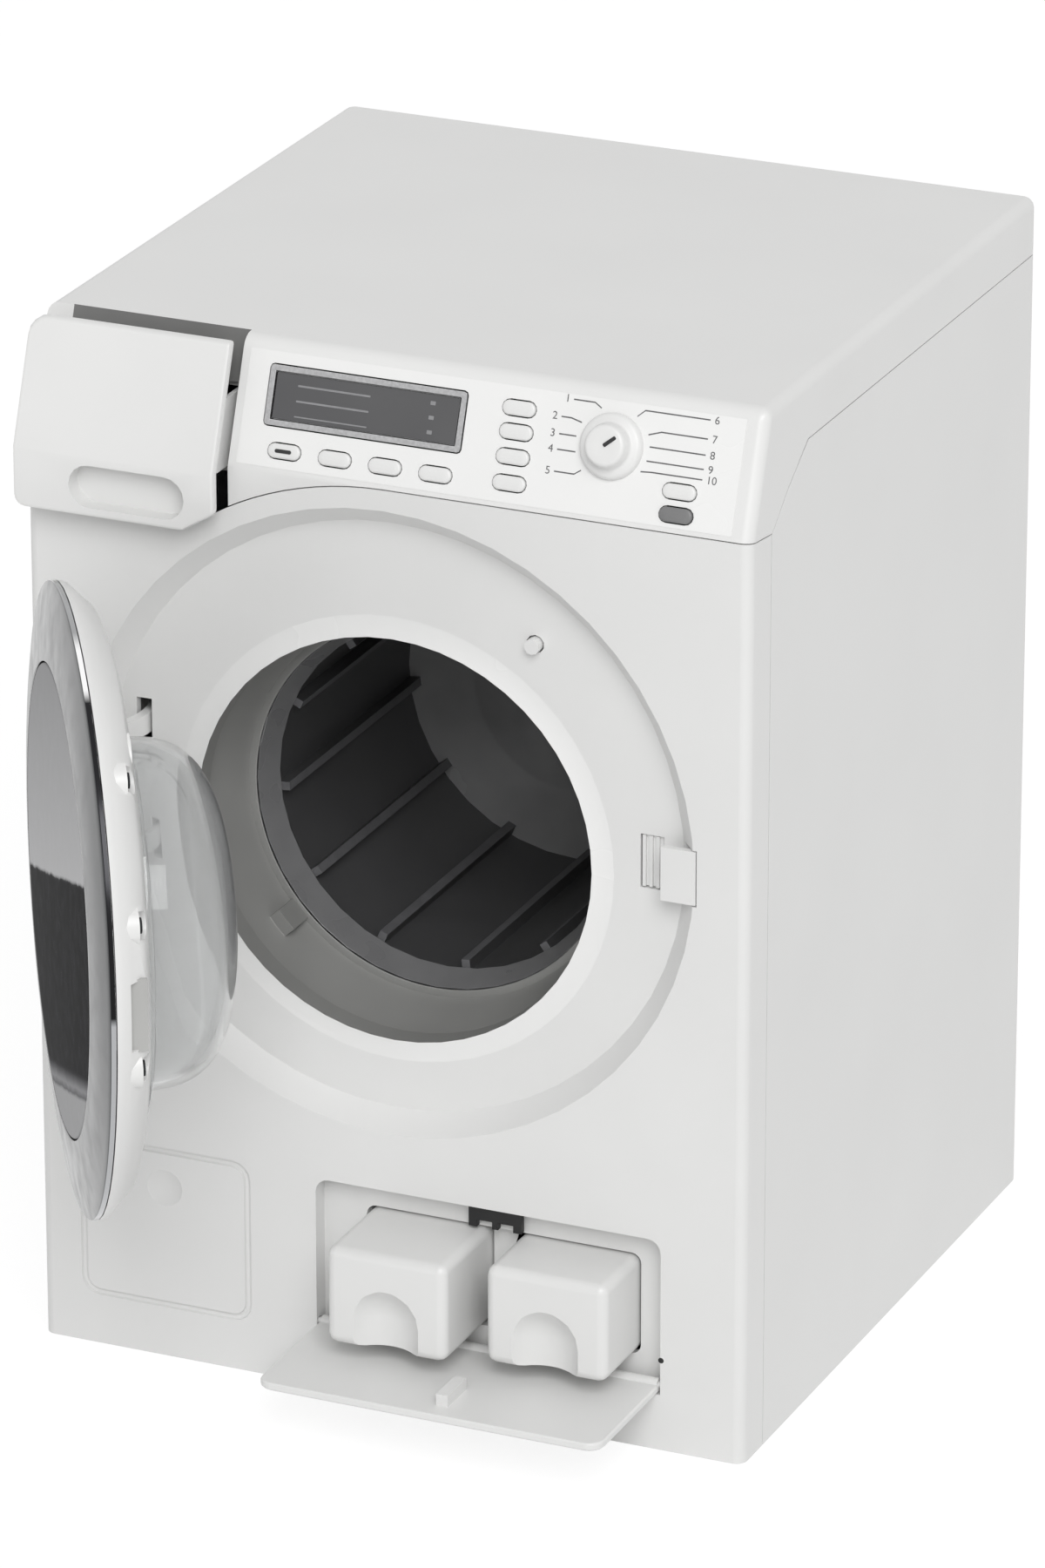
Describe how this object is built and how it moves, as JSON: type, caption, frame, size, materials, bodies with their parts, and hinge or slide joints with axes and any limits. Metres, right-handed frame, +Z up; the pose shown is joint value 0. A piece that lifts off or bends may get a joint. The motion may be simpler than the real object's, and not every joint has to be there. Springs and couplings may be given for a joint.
{
  "type": "toy washing machine",
  "caption": "Toy front-loading washing machine with a hinged round door, turning ribbed drum, sliding drawer, lower flap and containers, dial and press buttons.",
  "frame": {"origin": "centre of the body's base, on the surface it stands on", "axes": "+Z up, +X to the right as the user sees the front, -Y out of the front"},
  "size_m": [0.185, 0.3136, 0.262],
  "materials": {
    "white_plastic": "satin gloss",
    "silver_trim": "satin",
    "smoked_plastic": "gloss, see-through",
    "clear_plastic": "gloss, clear",
    "grey_plastic": "gloss",
    "charcoal_plastic": "satin",
    "black_plastic": "satin",
    "steel": "bright",
    "board": "matte"
  },
  "bodies": {
    "body": {"cabinet": "white_plastic", "front_panel": "white_plastic", "top_cover": "white_plastic", "base_plate": "white_plastic", "base_screw_1": "steel", "base_screw_2": "steel", "base_screw_3": "steel", "base_screw_4": "steel", "tub_ring": "grey_plastic", "bearing_bracket": "white_plastic", "motor": "steel", "battery_box": "black_plastic", "battery_cover": "white_plastic", "battery_cover_screw": "steel", "battery_contact_left": "steel", "battery_contact_right": "steel", "display_bezel": "white_plastic", "display_window": "smoked_plastic", "control_board": "board", "dial_switch": "black_plastic", "door_latch": "white_plastic", "bay_housing": "grey_plastic", "flap_clip": "black_plastic", "drawer_housing": "grey_plastic", "door_hinge_pin": "steel", "door_hinge_bracket": "white_plastic"},
    "drum_unit": {"drum": "charcoal_plastic", "drum_shaft": "steel", "drum_gear": "white_plastic"},
    "pinion": {"motor_pinion": "white_plastic"},
    "dial": {"dial_knob": "white_plastic"},
    "door": {"door_ring": "silver_trim", "door_window": "smoked_plastic", "door_shell": "white_plastic", "door_bowl": "clear_plastic", "door_screw_1": "steel", "door_screw_2": "steel", "door_screw_3": "steel"},
    "drawer": {"drawer_front": "white_plastic", "drawer_tray": "white_plastic"},
    "left_container": {"container_left": "white_plastic"},
    "right_container": {"container_right": "white_plastic"},
    "flap_unit": {"flap": "white_plastic"},
    "sensor": {"door_sensor_pin": "white_plastic"},
    "program_key_1": {"program_button_1": "white_plastic"},
    "program_key_2": {"program_button_2": "white_plastic"},
    "program_key_3": {"program_button_3": "white_plastic"},
    "program_key_4": {"program_button_4": "white_plastic"},
    "option_key_1": {"option_button_1": "white_plastic"},
    "option_key_2": {"option_button_2": "white_plastic"},
    "option_key_3": {"option_button_3": "white_plastic"},
    "option_key_4": {"option_button_4": "white_plastic"},
    "start_key": {"start_button": "white_plastic"},
    "door_key": {"door_button": "grey_plastic"}
  },
  "joints": [
    {"name": "door_hinge", "type": "hinge", "parent": "body", "child": "door", "pos_m": [-0.084, -0.084, 0.1485], "axis": [0, 0, -1], "range_deg": [-56.24, 27.76]},
    {"name": "drum_spin", "type": "hinge", "parent": "body", "child": "drum_unit", "pos_m": [0, 0.024, 0.143], "axis": [0, 1, 0], "continuous": true},
    {"name": "pinion_spin", "type": "hinge", "parent": "body", "child": "pinion", "pos_m": [0, 0.034, 0.11875], "axis": [0, 1, 0], "continuous": true},
    {"name": "dial_turn", "type": "hinge", "parent": "body", "child": "dial", "pos_m": [0.0554, -0.08494, 0.24944], "axis": [0, -0.9404, 0.3402], "continuous": true},
    {"name": "drawer_slide", "type": "slide", "parent": "body", "child": "drawer", "axis": [0, -1, 0], "range_m": [-0.0075, 0.0275]},
    {"name": "left_container_slide", "type": "slide", "parent": "body", "child": "left_container", "axis": [0, -1, 0], "range_m": [-0.0223, 0.02]},
    {"name": "right_container_slide", "type": "slide", "parent": "body", "child": "right_container", "axis": [0, -1, 0], "range_m": [-0.0173, 0.025]},
    {"name": "flap_hinge", "type": "hinge", "parent": "body", "child": "flap_unit", "pos_m": [0.02615, -0.0894, 0.0164], "axis": [-1, 0, 0], "range_deg": [0, 7]},
    {"name": "sensor_press", "type": "slide", "parent": "body", "child": "sensor", "axis": [0, 1, 0], "range_m": [0, 0.002], "stiffness_N_per_m": 60},
    {"name": "program_button_1_press", "type": "slide", "parent": "body", "child": "program_key_1", "axis": [0, 0.9404, -0.3402], "range_m": [0, 0.0008], "stiffness_N_per_m": 60},
    {"name": "program_button_2_press", "type": "slide", "parent": "body", "child": "program_key_2", "axis": [0, 0.9404, -0.3402], "range_m": [0, 0.0008], "stiffness_N_per_m": 60},
    {"name": "program_button_3_press", "type": "slide", "parent": "body", "child": "program_key_3", "axis": [0, 0.9404, -0.3402], "range_m": [0, 0.0008], "stiffness_N_per_m": 60},
    {"name": "program_button_4_press", "type": "slide", "parent": "body", "child": "program_key_4", "axis": [0, 0.9404, -0.3402], "range_m": [0, 0.0008], "stiffness_N_per_m": 60},
    {"name": "option_button_1_press", "type": "slide", "parent": "body", "child": "option_key_1", "axis": [0, 0.9404, -0.3402], "range_m": [0, 0.0008], "stiffness_N_per_m": 60},
    {"name": "option_button_2_press", "type": "slide", "parent": "body", "child": "option_key_2", "axis": [0, 0.9404, -0.3402], "range_m": [0, 0.0008], "stiffness_N_per_m": 60},
    {"name": "option_button_3_press", "type": "slide", "parent": "body", "child": "option_key_3", "axis": [0, 0.9404, -0.3402], "range_m": [0, 0.0008], "stiffness_N_per_m": 60},
    {"name": "option_button_4_press", "type": "slide", "parent": "body", "child": "option_key_4", "axis": [0, 0.9404, -0.3402], "range_m": [0, 0.0008], "stiffness_N_per_m": 60},
    {"name": "start_button_press", "type": "slide", "parent": "body", "child": "start_key", "axis": [0, 0.9404, -0.3402], "range_m": [0, 0.0008], "stiffness_N_per_m": 60},
    {"name": "door_button_press", "type": "slide", "parent": "body", "child": "door_key", "axis": [0, 0.9404, -0.3402], "range_m": [0, 0.0008], "stiffness_N_per_m": 60}
  ],
  "couplings": [
    {"joint": "pinion_spin", "follows": "drum_spin", "ratio": -3}
  ]
}
